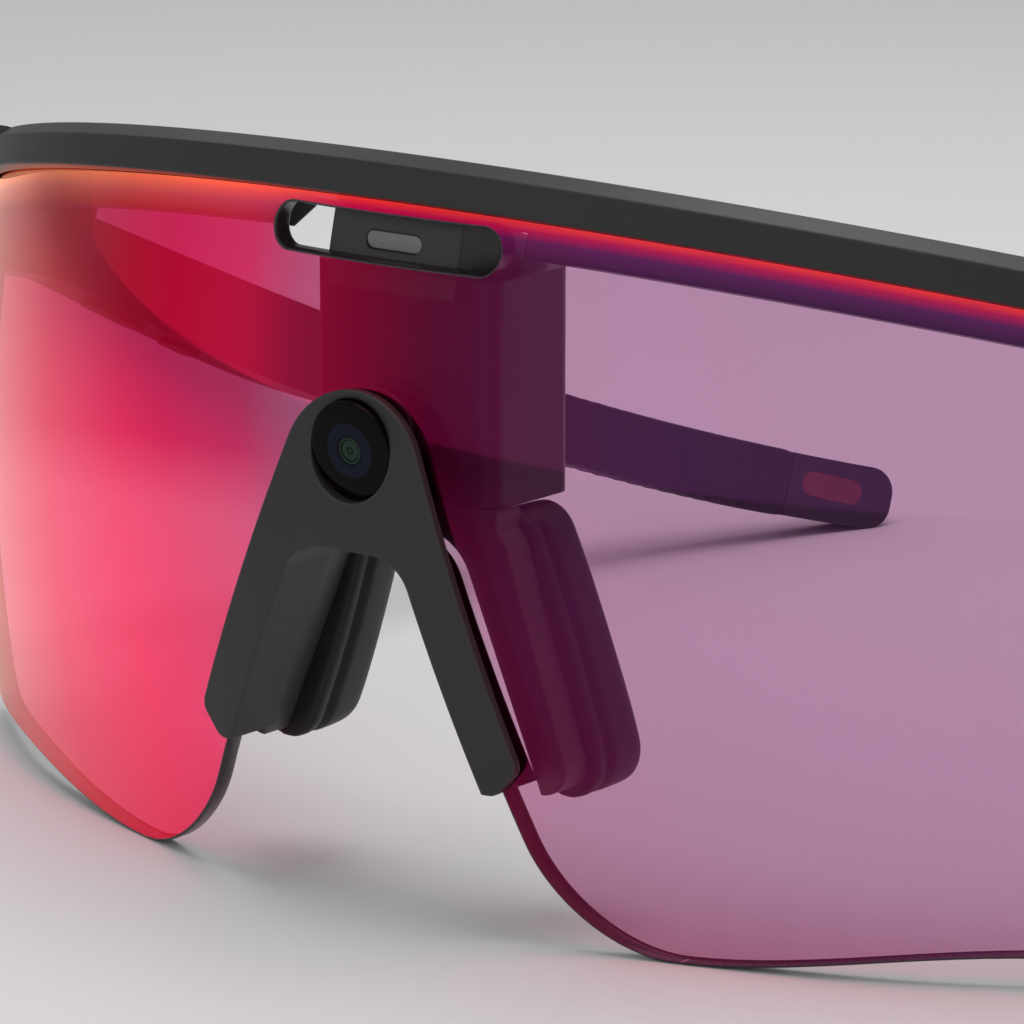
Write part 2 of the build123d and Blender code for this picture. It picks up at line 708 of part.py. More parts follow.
def arm_band(outer=0.0, inner=0.0, edge=0.0, start=arm_start, stop=arm_tip_y):
    """A length of the left temple, drawn in from its outer side, its inner side and its edges."""
    with BuildPart() as band:
        with BuildSketch(Plane.XY.offset(-far)):
            with BuildLine():
                outer_x = arm_outer_x - outer
                inner_x = arm_inner_x + inner
                outer_end = (arm_tip_outer_x - outer, arm_tip_y + overrun)
                inner_end = (arm_tip_inner_x + inner, arm_tip_y + overrun)
                outside = Line((outer_x, joint_y - overrun), (outer_x, arm_bend_y))
                outside_bend = TangentArc(outside @ 1, outer_end, tangent=(0, 1))
                inside = Line((inner_x, joint_y - overrun), (inner_x, arm_bend_y))
                inside_bend = TangentArc(inside @ 1, inner_end, tangent=(0, 1))
                Line(outside @ 0, inside @ 0)
                Line(outside_bend @ 1, inside_bend @ 1)
            make_face()
        extrude(amount=2 * far)
        with BuildSketch(Plane.YZ):
            with BuildLine():
                top = Spline([(y, z - edge) for y, z in arm_top])
                sole = Spline([(y, z + edge) for y, z in arm_sole])
                Line(top @ 1, sole @ 0)
                Line(sole @ 1, top @ 0)
            make_face()
        extrude(amount=far, mode=Mode.INTERSECT)
        add(upright(0, far, start, stop, -far, far), mode=Mode.INTERSECT)
    return band.part


bay_start = arm_start + arm_solid_front
bay_stop = sock_y - arm_solid_rear
wall_clearance = arm_wall + part_clearance
cover_clearance = cover_thickness + part_clearance
hinge_room = Cylinder(knuckle_radius + hinge_relief, far).locate(Location((hinge_x, joint_y, 0)))
plate_stop = arm_start + arm_solid_front
plate_face = arm_inner_x + hinge_plate

with BuildPart() as temple_cover:
    add(arm_band(edge=arm_wall / 2, start=bay_start + fit_clearance, stop=bay_stop - fit_clearance))
    add(arm_band(outer=-arm_wall, inner=cover_thickness), mode=Mode.SUBTRACT)
temple_cover.part.label = "temple_cover"

with BuildPart() as temple_shell:
    add(arm_band(stop=sock_y))
    add(arm_band(tang_inset, tang_inset, tang_inset, start=sock_y - overrun, stop=arm_tip_y - tang_inset))
    add(arm_band(arm_wall, cover_thickness + fit_clearance, arm_wall, bay_start, bay_stop),
        mode=Mode.SUBTRACT)
    lid_recess = arm_band(-overrun, -overrun, arm_wall / 2 - fit_clearance, bay_start, bay_stop)
    add(lid_recess - arm_band(-2 * overrun, cover_thickness + fit_clearance, -overrun), mode=Mode.SUBTRACT)
    add(hinge_room, mode=Mode.SUBTRACT)
    add(upright(arm_inner_x - overrun, plate_face, arm_start - overrun, plate_stop, middle_low, middle_high),
        mode=Mode.SUBTRACT)
temple_shell.part.label = "temple_shell"

with BuildPart() as temple_hinge:
    add(upright(arm_inner_x, plate_face, arm_start, plate_stop, middle_low, middle_high))
    add(upright(hinge_x, arm_inner_x + fit_clearance, joint_y, plate_stop - arm_solid_front / 2,
                middle_low, middle_high))
    with Locations((hinge_x, joint_y, 0)):
        Cylinder(pin_bore / 2, far, mode=Mode.SUBTRACT)
    add(knuckle(middle_low, middle_high, pin_bore))
temple_hinge.part.label = "temple_hinge"

tang_clearance = tang_inset - fit_clearance
with BuildPart() as ear_sock:
    add(arm_band(-part_clearance, -part_clearance, -part_clearance, sock_y, tip_y))
    add(arm_band(tang_clearance, tang_clearance, tang_clearance, sock_y - overrun, tip_y + overrun),
        mode=Mode.SUBTRACT)
ear_sock.part.label = "ear_sock"

with BuildPart() as temple_tip:
    add(arm_band(start=tip_y))
    fillet(temple_tip.edges().filter_by(Axis.X, tolerance=20).sort_by(Axis.Y)[-2:], tip_round)
    tang_end = arm_tip_y - tang_clearance
    add(arm_band(tang_clearance, tang_clearance, tang_clearance, tip_y - overrun, tang_end),
        mode=Mode.SUBTRACT)
temple_tip.part.label = "temple_tip"

board_y = joint_y + board_back
with BuildPart() as circuit_board:
    add(arm_band(inner=board_depth, edge=board_inset, start=board_y, stop=board_y + board_length))
    add(arm_band(outer=-arm_wall, inner=board_depth + board_thickness), mode=Mode.SUBTRACT)
circuit_board.part.label = "circuit_board"

speaker_end = bay_stop - part_clearance
speaker_y = speaker_end - speaker_length
with BuildPart() as speaker:
    add(arm_band(wall_clearance, cover_clearance, wall_clearance, speaker_y, speaker_end))
speaker.part.label = "speaker"

battery_y = board_y + board_length + bay_gap
with BuildPart() as battery:
    add(arm_band(wall_clearance, cover_clearance, wall_clearance, battery_y, speaker_y - bay_gap))
battery.part.label = "battery"


# ---- Speaker grilles, buttons, switch and inlays ----

arm_middle = (arm_outer_x + arm_inner_x) / 2
sole_side = arm_top[2][1] - arm_wall - part_clearance / 2


def sole_slice(low, high, ceiling=sole_side):
    """The layer of the left temple between two depths above its sole, below a ceiling."""
    layer = arm_band(-overrun, -overrun, low) - arm_band(-2 * overrun, -2 * overrun, high)
    return layer & upright(0, far, 0, far, -far, ceiling)


def sole_plug(x, y, length, width):
    """An upright plug of rounded plan through the left temple's sole."""
    with BuildPart() as plug:
        with BuildSketch(Plane.XY.offset(-far)):
            with Locations(Location((x, y), 90)):
                SlotOverall(length, width)
        extrude(amount=far + sole_side)
    return plug.part


grille_y = speaker_y + speaker_length / 2
grille_ceiling = arm_sole[2][1] + 3 * arm_wall
grille_x = arm_band(start=grille_y, stop=grille_y + overrun).bounding_box().center().X
grille_room = sole_plug(grille_x, grille_y, grille_length + 2 * fit_clearance,
                        grille_width + 2 * fit_clearance)
with BuildPart() as speaker_grille:
    grille_plug = sole_plug(grille_x, grille_y, grille_length, grille_width)
    add(grille_plug & sole_slice(fit_clearance, arm_wall, grille_ceiling))
    with BuildSketch(Plane.XY.offset(-far)):
        with Locations((grille_x, grille_y)), GridLocations(1, 3 * grille_slot, 1, 3):
            SlotOverall(grille_width - 2 * grille_slot, grille_slot)
    extrude(amount=2 * far, mode=Mode.SUBTRACT)
speaker_grille.part.label = "speaker_grille"


def button_plug(y, length, grow=0.0):
    """The plug of a button's cap, or of its hole when it is grown."""
    return sole_plug(arm_middle, y, length + 2 * grow, button_width + 2 * grow)


def button(y, length):
    """A button whose cap stands under the sole and whose flange keeps it in."""
    flange_low = arm_wall + fit_clearance
    with BuildPart() as cap:
        cap_proud = button_travel + button_pressed_proud
        add(button_plug(y, length) & sole_slice(-cap_proud, flange_low + button_flange / 2))
        flange = sole_plug(arm_middle, y, length + 2 * button_flange_edge, button_width)
        add(flange & sole_slice(flange_low, flange_low + button_flange))
    return cap


capture_y = joint_y + capture_back
capture_button = button(capture_y, capture_length)
capture_button.part.label = "capture_button"
action_y = joint_y + action_back
action_button = button(action_y, action_length)
action_button.part.label = "action_button"

switch_y = joint_y + switch_back
switch_middle = -switch_drop
switch_inside = arm_inner_x + cover_thickness + fit_clearance


def switch_block(grow, stop, x_low, x_high):
    """A block of the slide switch in the left temple's inner cover."""
    half_length = switch_length / 2 + grow
    half_height = switch_height / 2 + grow
    return upright(x_low, x_high, switch_y - half_length, switch_y + half_length + stop,
                   switch_middle - half_height, switch_middle + half_height)


with BuildPart() as power_switch:
    add(switch_block(0, 0, arm_inner_x - switch_proud, switch_inside))
    chamfer(power_switch.edges().group_by(Axis.X)[0], switch_proud / 2)
    add(switch_block(button_flange_edge, 0, switch_inside, switch_inside + button_flange))
power_switch.part.label = "power_switch"


def tip_inlay(grow, depth):
    """The rounded bar let into the inner side of the left temple's tip."""
    with BuildPart() as bar:
        with BuildSketch(Plane.YZ):
            with Locations((tip_y + inlay_back, -(arm_tip_drop + sole_tip_drop) / 2)):
                SlotOverall(inlay_length + 2 * grow, inlay_height + 2 * grow)
        extrude(amount=arm_middle)
    return bar.part & (arm_band(-overrun, 0, 0) - arm_band(-2 * overrun, depth, -overrun))


with BuildPart() as tip_bar:
    add(tip_inlay(0, inlay_depth))
tip_bar.part.label = "tip_inlay"

with BuildPart() as tip_body:
    add(temple_tip.part)
    add(tip_inlay(fit_clearance, inlay_depth + fit_clearance), mode=Mode.SUBTRACT)
tip_body.part.label = "temple_tip"

with BuildPart() as plain_shell:
    add(temple_shell.part)
    add(grille_room & sole_slice(-arm_wall, 2 * arm_wall, grille_ceiling), mode=Mode.SUBTRACT)
plain_shell.part.label = "temple_shell"

with BuildPart() as button_shell:
    add(plain_shell.part)
    for y, length in ((capture_y, capture_length), (action_y, action_length)):
        button_hole = button_plug(y, length, button_clearance) & sole_slice(-arm_wall, 2 * arm_wall)
        add(button_hole, mode=Mode.SUBTRACT)
button_shell.part.label = "temple_shell"

with BuildPart() as switch_cover:
    add(temple_cover.part)
    add(switch_block(button_clearance, switch_travel, 0, far), mode=Mode.SUBTRACT)
switch_cover.part.label = "temple_cover"

# ---- Rest position and export ----

centre_pieces = [shield_lens, brow_frame, brow_cap, brow_flex, camera_window, camera_barrel, lens_retainer,
                 camera_lens, camera_sensor, bridge_cover, bridge_housing, bridge_back, charging_contacts,
                 bridge_screws, light_window, light_board, pad_carrier]
side_pieces = [nose_pad, front_hinge, hinge_pin, temple_hinge, ear_sock, tip_body, tip_bar, circuit_board,
               battery, speaker, speaker_grille]
left_pieces = side_pieces + [plain_shell, switch_cover]
right_pieces = side_pieces + [button_shell, temple_cover]

whole = {piece.part.label: piece.part for piece in centre_pieces + [power_switch]}
whole |= {f"{piece.part.label}_left": piece.part for piece in left_pieces}
whole |= {f"{piece.part.label}_right": mirror(piece.part, about=Plane.YZ) for piece in right_pieces}
whole |= {piece.part.label: mirror(piece.part, about=Plane.YZ) for piece in (capture_button, action_button)}

rest_tilt = lens_lean
for _ in range(4):
    tilted = Location((0, 0, 0), (-rest_tilt, 0, 0))
    lobe_low = shield_lens.part.moved(tilted).bounding_box().min.Z
    tip_low = tip_body.part.moved(tilted).bounding_box().min.Z
    rest_tilt += degrees((tip_low - lobe_low) / arm_tip_y)
tilted = Location((0, 0, 0), (-rest_tilt, 0, 0))
box = Compound(children=[piece.moved(tilted) for piece in whole.values()]).bounding_box()
rest = Location((-box.center().X, -box.center().Y, -box.min.Z)) * tilted

for name, piece in whole.items():
    placed = piece.moved(rest)
    placed.label = name
    export_step(placed, f"parts/{name}.step")
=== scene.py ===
import math
import bmesh
import bpy
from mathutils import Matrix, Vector
from mathutils.geometry import delaunay_2d_cdt


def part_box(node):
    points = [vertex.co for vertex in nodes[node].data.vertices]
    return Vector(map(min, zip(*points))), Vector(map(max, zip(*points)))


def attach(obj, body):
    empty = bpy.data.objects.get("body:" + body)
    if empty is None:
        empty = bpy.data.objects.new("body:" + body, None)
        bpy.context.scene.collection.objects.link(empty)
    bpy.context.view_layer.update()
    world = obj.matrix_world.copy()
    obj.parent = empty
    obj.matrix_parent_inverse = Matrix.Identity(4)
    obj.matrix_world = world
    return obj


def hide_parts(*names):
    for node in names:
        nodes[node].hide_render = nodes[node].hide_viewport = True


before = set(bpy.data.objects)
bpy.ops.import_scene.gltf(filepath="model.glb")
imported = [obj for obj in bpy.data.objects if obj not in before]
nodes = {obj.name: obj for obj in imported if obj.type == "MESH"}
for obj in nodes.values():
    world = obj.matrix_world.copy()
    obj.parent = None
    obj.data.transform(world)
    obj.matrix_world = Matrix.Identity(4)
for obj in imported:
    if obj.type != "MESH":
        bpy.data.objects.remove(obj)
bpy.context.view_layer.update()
mm = 0.001
print("frame loaded:", len(nodes), "parts")


shot = {
    "place": (0.27302, -0.39472, 0.13361),
    "look": (-0.6031, 0.7640, -0.2295),
    "lens": 193.0,
    "sensor": 36.0,
    "nearest": 0.01,
}

camData = bpy.data.cameras.new("shotCamera")
camData.lens = shot["lens"]
camData.sensor_width = shot["sensor"]
camData.clip_start = shot["nearest"]
cam = bpy.data.objects.new("shotCamera", camData)
cam.location = shot["place"]
cam.rotation_euler = Vector(shot["look"]).to_track_quat("-Z", "Y").to_euler()
bpy.context.scene.collection.objects.link(cam)
bpy.context.scene.camera = cam


studio = {
    "top": {"place": (0.0, 0.02, 0.62), "size": (0.50, 0.50), "power": 2.3},
    "rim": {"place": (-0.55, 0.62, 0.60), "size": (0.7, 0.3), "power": 0.5},
    "aim": (0.0, 0.0, 0.03),
    "world": 0.31,
    "worldTint": (0.98, 0.98, 1.0),
    "frontGlow": 0.40,
    "glowSide": (-0.05, -1.0, -0.10),
    "glowEdges": (0.05, 0.80),
}


def addLight(name, look):
    lamp = bpy.data.lights.new(name, "AREA")
    lamp.shape = "RECTANGLE"
    lamp.size, lamp.size_y = look["size"]
    lamp.energy = look["power"]
    obj = bpy.data.objects.new(name, lamp)
    obj.location = look["place"]
    aim = Vector(studio["aim"]) - Vector(look["place"])
    obj.rotation_euler = aim.to_track_quat("-Z", "Y").to_euler()
    bpy.context.scene.collection.objects.link(obj)


for lightName in ("top", "rim"):
    addLight(lightName + "Light", studio[lightName])


def buildWorld():  # an even grey room that is brighter in front of the object
    world = bpy.data.worlds.new("studioWorld")
    world.use_nodes = True
    tree = world.node_tree
    coord = tree.nodes.new("ShaderNodeTexCoord")
    side = tree.nodes.new("ShaderNodeVectorMath")
    side.operation = "DOT_PRODUCT"
    side.inputs[1].default_value = Vector(studio["glowSide"]).normalized()
    spread = tree.nodes.new("ShaderNodeMapRange")
    spread.interpolation_type = "SMOOTHSTEP"
    spread.inputs["From Min"].default_value = studio["glowEdges"][0]
    spread.inputs["From Max"].default_value = studio["glowEdges"][1]
    spread.inputs["To Min"].default_value = studio["world"]
    spread.inputs["To Max"].default_value = studio["world"] + studio["frontGlow"]
    room = tree.nodes["Background"]
    room.inputs["Color"].default_value = (*studio["worldTint"], 1.0)
    tree.links.new(coord.outputs["Generated"], side.inputs[0])
    tree.links.new(side.outputs["Value"], spread.inputs["Value"])
    tree.links.new(spread.outputs["Result"], room.inputs["Strength"])
    bpy.context.scene.world = world


buildWorld()
bpy.context.scene.view_settings.view_transform = "Standard"
print("camera and lights set")


def wire(tree, source, target):
    tree.links.new(source, target)


def addNode(tree, kind, **values):
    node = tree.nodes.new(kind)
    for key, value in values.items():
        setattr(node, key, value)
    return node


def newFinish(name):
    mat = bpy.data.materials.new(name)
    mat.use_nodes = True
    tree = mat.node_tree
    tree.nodes.clear()
    return mat, tree, addNode(tree, "ShaderNodeOutputMaterial")


def noiseAt(tree, size, detail, rough, stretch=(1.0, 1.0, 1.0)):  # size in millimetres
    coord = addNode(tree, "ShaderNodeTexCoord")
    place = addNode(tree, "ShaderNodeMapping")
    place.inputs["Scale"].default_value = stretch
    noise = addNode(tree, "ShaderNodeTexNoise")
    noise.inputs["Scale"].default_value = 1.0 / (size * mm)
    noise.inputs["Detail"].default_value = detail
    noise.inputs["Roughness"].default_value = rough
    wire(tree, coord.outputs["Object"], place.inputs["Vector"])
    wire(tree, place.outputs["Vector"], noise.inputs["Vector"])
    return noise.outputs["Fac"]


def mapped(tree, source, fromEnds, toEnds=(0.0, 1.0)):
    node = addNode(tree, "ShaderNodeMapRange")
    wire(tree, source, node.inputs["Value"])
    for key, value in zip(("From Min", "From Max", "To Min", "To Max"), (*fromEnds, *toEnds)):
        node.inputs[key].default_value = value
    return node.outputs["Result"]


def mixedColour(tree, share, first, second):
    node = addNode(tree, "ShaderNodeMix", data_type="RGBA")
    wire(tree, share, node.inputs[0])
    for socket, colour in ((node.inputs[6], first), (node.inputs[7], second)):
        if isinstance(colour, tuple):
            socket.default_value = (*colour, 1.0)
        else:
            wire(tree, colour, socket)
    return node.outputs[2]


moulded = {  # what a finish has unless its own values say otherwise, with sizes in millimetres
    "patch": 9.0, "patchDetail": 4.0, "patchRough": 0.6, "patchEnds": (0.3, 0.7), "shade": 0.82,
    "grain": 0.35, "grainDetail": 2.0, "grainRough": 0.5, "stretch": (1.0, 1.0, 1.0),
    "bump": 0.25, "depth": 0.02, "edge": 0.25, "edgeSamples": 4,
    "wear": 0.25, "wearEnds": (0.98, 0.80), "wearGain": 2.2, "wearLift": 0.03,
    "roughEnds": (0.25, 0.75), "metal": 0.0, "specular": 0.5, "coat": 0.0, "coatRough": 0.08,
    "sheen": 0.0,
}


def mouldedFinish(name, ownLook):  # grain, patches, soft edges and rubbed corners
    look = {**moulded, **ownLook}
    mat, tree, out = newFinish(name)
    shader = addNode(tree, "ShaderNodeBsdfPrincipled")
    patches = noiseAt(tree, look["patch"], look["patchDetail"], look["patchRough"])
    grain = noiseAt(tree, look["grain"], look["grainDetail"], look["grainRough"], look["stretch"])
    base = look["colour"]
    dark = tuple(c * look["shade"] for c in base)
    colour = mixedColour(tree, mapped(tree, patches, look["patchEnds"]), dark, base)
    bevel = addNode(tree, "ShaderNodeBevel", samples=look["edgeSamples"])
    bevel.inputs["Radius"].default_value = look["edge"] * mm
    geometry = addNode(tree, "ShaderNodeNewGeometry")
    facing = addNode(tree, "ShaderNodeVectorMath", operation="DOT_PRODUCT")
    wire(tree, bevel.outputs["Normal"], facing.inputs[0])
    wire(tree, geometry.outputs["Normal"], facing.inputs[1])
    wear = mapped(tree, facing.outputs["Value"], look["wearEnds"], (0.0, look["wear"]))
    rubbed = tuple(min(1.0, c * look["wearGain"] + look["wearLift"]) for c in base)
    wire(tree, mixedColour(tree, wear, colour, rubbed), shader.inputs["Base Color"])
    rough = mapped(tree, patches, look["roughEnds"], look["rough"])
    wire(tree, rough, shader.inputs["Roughness"])
    bump = addNode(tree, "ShaderNodeBump")
    bump.inputs["Strength"].default_value = look["bump"]
    bump.inputs["Distance"].default_value = look["depth"] * mm
    wire(tree, grain, bump.inputs["Height"])
    wire(tree, bevel.outputs["Normal"], bump.inputs["Normal"])
    wire(tree, bump.outputs["Normal"], shader.inputs["Normal"])
    for socket, key in (("Metallic", "metal"), ("Specular IOR Level", "specular"),
                        ("Coat Weight", "coat"), ("Coat Roughness", "coatRough"),
                        ("Sheen Weight", "sheen")):
        shader.inputs[socket].default_value = look[key]
    wire(tree, shader.outputs["BSDF"], out.inputs["Surface"])
    return mat


def colourRamp(tree, source, stops):
    ramp = addNode(tree, "ShaderNodeValToRGB")
    wire(tree, source, ramp.inputs["Fac"])
    band = ramp.color_ramp
    while len(band.elements) < len(stops):
        band.elements.new(0.5)
    for element, (place, colour) in zip(band.elements, stops):
        element.position = place
        element.color = (*colour, 1.0)
    return ramp.outputs["Color"]


def facingShare(tree):  # 0 where the surface faces the viewer and 1 where it is seen edge on
    weight = addNode(tree, "ShaderNodeLayerWeight")
    weight.inputs["Blend"].default_value = 0.5
    return weight.outputs["Facing"]


def facingRamp(tree, stops):
    return colourRamp(tree, facingShare(tree), stops)


lensCoat = {
    "deep": [
        (0.0, (0.74, 0.58, 0.68)), (0.18, (0.72, 0.54, 0.66)), (0.26, (0.46, 0.22, 0.34)),
        (0.34, (0.32, 0.06, 0.16)), (0.44, (0.28, 0.04, 0.13)), (1.0, (0.34, 0.10, 0.16)),
    ],
    "deepTo": (6.0, 7.6),  # below the brow, in lengths of bandReach
    "clear": [
        (0.0, (0.74, 0.58, 0.68)), (0.18, (0.72, 0.54, 0.66)), (0.26, (0.52, 0.30, 0.41)),
        (0.34, (0.46, 0.22, 0.33)), (0.44, (0.44, 0.18, 0.28)), (1.0, (0.44, 0.18, 0.26)),
    ],
    "coat": [
        (0.00, (0.040, 0.009, 0.050)), (0.08, (0.055, 0.008, 0.056)), (0.18, (0.110, 0.002, 0.026)),
        (0.24, (0.24, 0.002, 0.028)), (0.29, (0.36, 0.007, 0.050)), (0.34, (0.68, 0.010, 0.060)),
        (0.43, (0.88, 0.007, 0.058)), (0.50, (1.0, 0.020, 0.068)), (0.56, (1.0, 0.060, 0.110)),
        (0.64, (1.0, 0.125, 0.150)), (0.80, (1.0, 0.36, 0.34)), (1.00, (1.0, 0.62, 0.52)),
    ],
    "band": [  # painted reflection: red-orange gloss added just under the brow, from bandStart below the brow over the length bandReach
        (0.00, (1.0, 0.050, 0.004)), (0.16, (0.95, 0.035, 0.006)), (0.30, (0.48, 0.003, 0.040)),
        (0.50, (0.07, 0.007, 0.060)), (0.80, (0.01, 0.002, 0.010)), (1.0, (0.0, 0.0, 0.0)),
    ],
    # painted reflection: yellow-orange gloss added near the brow where the lens is seen edge on
    "sideBand": [(0.00, (0.7, 0.62, 0.20)), (0.55, (0.4, 0.16, 0.04)), (1.0, (0.0, 0.0, 0.0))],
    "bandStart": 1.5,
    "bandReach": 3.6,
    "sideFacing": (0.25, 0.6),
    "smear": {
        "size": 14.0, "detail": 5.0, "rough": 0.65, "ends": (0.3, 0.8), "gloss": (0.015, 0.05),
    },
}
lensBack = {
    "tint": (0.80, 0.62, 0.74),
    "shine": (0.75, 0.55, 0.70),
    "shineShare": 0.015,
    "smear": {
        "size": 11.0, "detail": 5.0, "rough": 0.65, "ends": (0.3, 0.8), "gloss": (0.02, 0.07),
    },
}


def smearedGloss(tree, smear):  # a mirror shader whose roughness wanders like wiped glass
    gloss = addNode(tree, "ShaderNodeBsdfGlossy")
    wander = noiseAt(tree, smear["size"], smear["detail"], smear["rough"])
    rough = mapped(tree, wander, smear["ends"], smear["gloss"])
    wire(tree, rough, gloss.inputs["Roughness"])
    return gloss


def coatFinish():
    mat, tree, out = newFinish("mirrorCoat")
    gloss = smearedGloss(tree, lensCoat["smear"])
    below = addNode(tree, "ShaderNodeAttribute", attribute_name="belowBrow").outputs["Fac"]
    # painted reflection: the bands below the brow are added on top of the coat's own gloss colour
    aside = addNode(tree, "ShaderNodeVectorMath", operation="MULTIPLY_ADD")
    wire(tree, colourRamp(tree, below, lensCoat["sideBand"]), aside.inputs[0])
    wire(tree, mapped(tree, facingShare(tree), lensCoat["sideFacing"]), aside.inputs[1])
    wire(tree, colourRamp(tree, below, lensCoat["band"]), aside.inputs[2])
    tone = addNode(tree, "ShaderNodeVectorMath", operation="ADD")
    wire(tree, facingRamp(tree, lensCoat["coat"]), tone.inputs[0])
    wire(tree, aside.outputs["Vector"], tone.inputs[1])
    wire(tree, tone.outputs["Vector"], gloss.inputs["Color"])
    deep, light = facingRamp(tree, lensCoat["deep"]), facingRamp(tree, lensCoat["clear"])
    passed = mixedColour(tree, mapped(tree, below, lensCoat["deepTo"]), deep, light)
    clear = addNode(tree, "ShaderNodeBsdfTransparent")
    wire(tree, passed, clear.inputs["Color"])
    both = addNode(tree, "ShaderNodeAddShader")
    wire(tree, clear.outputs["BSDF"], both.inputs[0])
    wire(tree, gloss.outputs["BSDF"], both.inputs[1])
    wire(tree, both.outputs["Shader"], out.inputs["Surface"])
    return mat


def innerFinish():
    mat, tree, out = newFinish("lensInner")
    gloss = smearedGloss(tree, lensBack["smear"])
    gloss.inputs["Color"].default_value = (*lensBack["shine"], 1.0)
    clear = addNode(tree, "ShaderNodeBsdfTransparent")
    clear.inputs["Color"].default_value = (*lensBack["tint"], 1.0)
    both = addNode(tree, "ShaderNodeMixShader")
    both.inputs["Fac"].default_value = lensBack["shineShare"]
    wire(tree, clear.outputs["BSDF"], both.inputs[1])
    wire(tree, gloss.outputs["BSDF"], both.inputs[2])
    wire(tree, both.outputs["Shader"], out.inputs["Surface"])
    return mat


blackPlastic = mouldedFinish("blackPlastic", {
    "colour": (0.014, 0.013, 0.014), "rough": (0.42, 0.52), "grain": 0.5, "bump": 0.12,
    "specular": 0.35, "edge": 0.30, "wear": 0.35,
})
browBlack = mouldedFinish("browBlack", {
    "colour": (0.018, 0.017, 0.017), "rough": (0.34, 0.40), "grain": 0.25, "bump": 0.15,
    "edge": 0.35, "wear": 0.30, "specular": 0.4,
})
satinGrey = mouldedFinish("satinGrey", {
    "colour": (0.026, 0.024, 0.026), "rough": (0.40, 0.48), "grain": 0.25, "bump": 0.25,
    "edge": 0.40, "wear": 0.60, "specular": 0.35,
})
carrierGrey = mouldedFinish("carrierGrey", {
    "colour": (0.072, 0.070, 0.072), "rough": (0.40, 0.48), "grain": 0.30, "bump": 0.25,
    "edge": 0.45, "wear": 0.30,
})
housingBlack = mouldedFinish("housingBlack", {
    "colour": (0.030, 0.028, 0.030), "rough": (0.34, 0.44), "grain": 0.4, "bump": 0.2,
    "edge": 0.35, "wear": 0.30,
})
padRubber = mouldedFinish("padRubber", {
    "colour": (0.010, 0.010, 0.010), "rough": (0.48, 0.58), "grain": 0.8, "bump": 0.10,
    "depth": 0.015, "edge": 0.2, "wear": 0.0, "sheen": 0.04, "specular": 0.35,
})
sockRubber = mouldedFinish("sockRubber", {
    "colour": (0.010, 0.010, 0.010), "rough": (0.55, 0.66), "grain": 0.8, "bump": 0.10,
    "edge": 0.2, "wear": 0.0, "sheen": 0.08, "specular": 0.35,
})
tipBlack = mouldedFinish("tipBlack", {
    "colour": (0.014, 0.013, 0.014), "rough": (0.36, 0.46), "grain": 0.6, "bump": 0.10,
    "edge": 0.4, "wear": 0.35,
})
inlayRed = mouldedFinish("inlayRed", {
    "colour": (0.20, 0.012, 0.012), "rough": (0.30, 0.40), "grain": 0.5, "bump": 0.1,
    "edge": 0.2, "wear": 0.1, "coat": 0.4,
})
darkSteel = mouldedFinish("darkSteel", {
    "colour": (0.09, 0.09, 0.095), "rough": (0.28, 0.42), "grain": 0.12, "bump": 0.3,
    "edge": 0.12, "wear": 0.8, "metal": 0.9, "stretch": (1.0, 1.0, 6.0),
})
brightSteel = mouldedFinish("brightSteel", {
    "colour": (0.46, 0.46, 0.48), "rough": (0.22, 0.36), "grain": 0.10, "bump": 0.25,
    "edge": 0.1, "wear": 0.4, "metal": 1.0, "stretch": (1.0, 1.0, 8.0),
})
goldPlate = mouldedFinish("goldPlate", {
    "colour": (0.80, 0.56, 0.24), "rough": (0.18, 0.30), "grain": 0.2, "bump": 0.15,
    "edge": 0.1, "wear": 0.2, "metal": 1.0,
})
frostedLight = mouldedFinish("frostedLight", {
    "colour": (0.26, 0.25, 0.24), "rough": (0.42, 0.55), "grain": 0.12, "bump": 0.4,
    "edge": 0.15, "wear": 0.1,
})
boardGreen = mouldedFinish("boardGreen", {
    "colour": (0.015, 0.09, 0.045), "rough": (0.30, 0.42), "grain": 0.8, "patch": 1.2,
    "shade": 0.5, "bump": 0.5, "edge": 0.1, "wear": 0.3, "depth": 0.04,
})
amberFilm = mouldedFinish("amberFilm", {
    "colour": (0.45, 0.20, 0.03), "rough": (0.25, 0.35), "grain": 0.5, "patch": 1.0,
    "shade": 0.6, "bump": 0.2, "edge": 0.05, "wear": 0.0,
})
cellFoil = mouldedFinish("cellFoil", {
    "colour": (0.40, 0.41, 0.43), "rough": (0.24, 0.38), "grain": 1.2, "bump": 0.5, "edge": 0.3,
    "wear": 0.2, "metal": 0.8, "depth": 0.05,
})
speakerBlack = mouldedFinish("speakerBlack", {
    "colour": (0.035, 0.035, 0.037), "rough": (0.40, 0.55), "grain": 0.3, "bump": 0.3,
    "edge": 0.2, "wear": 0.3,
})
opticGlass = mouldedFinish("opticGlass", {
    "colour": (0.02, 0.05, 0.04), "rough": (0.04, 0.08), "grain": 3.0, "bump": 0.02,
    "edge": 0.05, "wear": 0.0, "coat": 1.0,
})
windowBlack = mouldedFinish("windowBlack", {
    "colour": (0.003, 0.003, 0.003), "rough": (0.05, 0.09), "grain": 3.0, "bump": 0.02,
    "edge": 0.05, "wear": 0.0, "specular": 0.06,
})
windowBlue = mouldedFinish("windowBlue", {
    "colour": (0.006, 0.008, 0.022), "rough": (0.10, 0.16), "grain": 3.0, "bump": 0.02,
    "edge": 0.05, "wear": 0.0, "specular": 0.08,
})
windowGreen = mouldedFinish("windowGreen", {
    "colour": (0.014, 0.040, 0.024), "rough": (0.08, 0.14), "grain": 3.0, "bump": 0.02,
    "edge": 0.05, "wear": 0.0, "specular": 0.12,
})
edgeDark = mouldedFinish("lensEdge", {
    "colour": (0.040, 0.026, 0.036), "rough": (0.20, 0.34), "grain": 0.2, "bump": 0.2,
    "edge": 0.1, "wear": 0.1,
})
